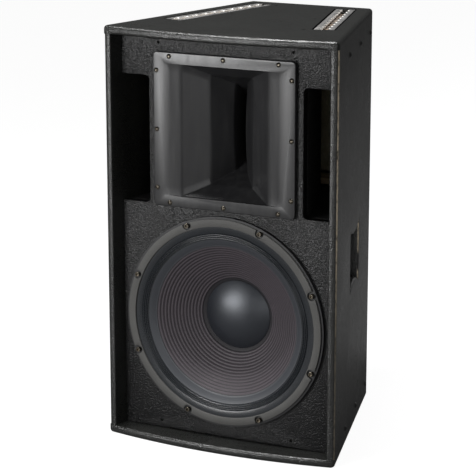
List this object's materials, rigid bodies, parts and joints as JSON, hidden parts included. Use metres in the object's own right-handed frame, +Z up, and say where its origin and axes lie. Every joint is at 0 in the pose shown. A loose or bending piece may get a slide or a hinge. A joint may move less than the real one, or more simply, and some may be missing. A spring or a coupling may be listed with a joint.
{
  "type": "pa speaker cabinet",
  "caption": "Vented two-way loudspeaker in a trapezoidal cabinet with a large woofer below a narrow vertical horn, ports beside the horn, hand holds and load tracks.",
  "frame": {"origin": "underside of the bottom panel, at the middle of the outer box", "axes": "-Y out of the front, +X to the right seen from the front, +Z up"},
  "size_m": [0.455, 0.43, 0.76],
  "materials": {
    "cabinet_paint": "textured satin black paint over plywood",
    "baffle_paint": "textured satin black paint over plywood",
    "plywood": "bare birch plywood",
    "damping_wool": "matt fibre wool",
    "zinc_plate": "zinc plated",
    "track_aluminium": "mill finish",
    "black_bolts": "black oxide",
    "handle_cup": "moulded satin black",
    "cast_frame": "black powder coat on cast aluminium",
    "gasket_grey": "matt grey gasket",
    "bright_screws": "bright plated",
    "phenolic": "phenolic board",
    "machined_steel": "machined",
    "ferrite": "matt ferrite",
    "spider_cloth": "resin-treated cotton",
    "surround_cloth": "coated black cloth",
    "cone_paper": "ribbed paper cone",
    "dust_cap_paper": "treated cloth dome",
    "copper_coil": "copper winding",
    "horn_plastic": "moulded satin grey",
    "foam_black": "closed-cell foam",
    "driver_black": "satin black",
    "titanium": "formed titanium",
    "dish_plastic": "moulded black",
    "socket_plastic": "moulded black",
    "circuit_board": "solder mask",
    "crossover_components": "coils, capacitors and resistors",
    "lead_insulation": "soft insulation"
  },
  "bodies": {
    "root": {"top_panel": "cabinet_paint", "bottom_panel": "cabinet_paint", "left_side_panel": "cabinet_paint", "right_side_panel": "cabinet_paint", "rear_panel": "cabinet_paint", "baffle": "baffle_paint", "lower_shelf": "plywood", "upper_shelf": "plywood", "left_duct_wall": "plywood", "right_duct_wall": "plywood", "baffle_cleats": "plywood", "rear_pad": "damping_wool", "left_pads": "damping_wool", "right_pads": "damping_wool", "grille_inserts": "zinc_plate", "track_top_left": "track_aluminium", "track_top_right": "track_aluminium", "track_bottom_left": "track_aluminium", "track_bottom_right": "track_aluminium", "track_screws": "zinc_plate", "rig_bracket_top_left": "zinc_plate", "rig_bracket_top_right": "zinc_plate", "rig_bracket_bottom_left": "zinc_plate", "rig_bracket_bottom_right": "zinc_plate", "side_bolts": "black_bolts", "panel_bolts": "black_bolts", "left_handle_cup": "handle_cup", "right_handle_cup": "handle_cup", "handle_screws": "zinc_plate", "woofer_basket": "cast_frame", "woofer_gasket": "gasket_grey", "woofer_screws": "bright_screws", "woofer_tee_nuts": "zinc_plate", "woofer_terminals": "phenolic", "top_plate": "machined_steel", "woofer_magnet": "ferrite", "pole_piece": "machined_steel", "spider": "spider_cloth", "surround": "surround_cloth", "horn": "horn_plastic", "horn_seal": "foam_black", "horn_screws": "bright_screws", "driver_bolts": "zinc_plate", "driver_front_plate": "driver_black", "driver_magnet": "ferrite", "driver_pole": "machined_steel", "driver_gap_plate": "machined_steel", "driver_surround": "spider_cloth", "driver_clamp": "driver_black", "driver_cover": "driver_black", "input_dish": "dish_plastic", "input_sockets": "socket_plastic", "input_screws": "bright_screws", "crossover_board": "circuit_board", "crossover_parts": "crossover_components", "internal_leads": "lead_insulation"},
    "cone_assembly": {"cone": "cone_paper", "dust_cap": "dust_cap_paper", "voice_coil": "copper_coil"},
    "hf_diaphragm": {"driver_diaphragm": "titanium"}
  },
  "joints": [
    {"name": "cone_travel", "type": "slide", "parent": "root", "child": "cone_assembly", "axis": [0, -1, 0], "range_m": [-0.007, 0.007], "stiffness_N_per_m": 6000, "deforming": ["surround", "spider"]},
    {"name": "diaphragm_travel", "type": "slide", "parent": "root", "child": "hf_diaphragm", "axis": [0, -1, 0], "range_m": [-0.0004, 0.0004], "stiffness_N_per_m": 2000, "deforming": ["driver_surround"]}
  ]
}
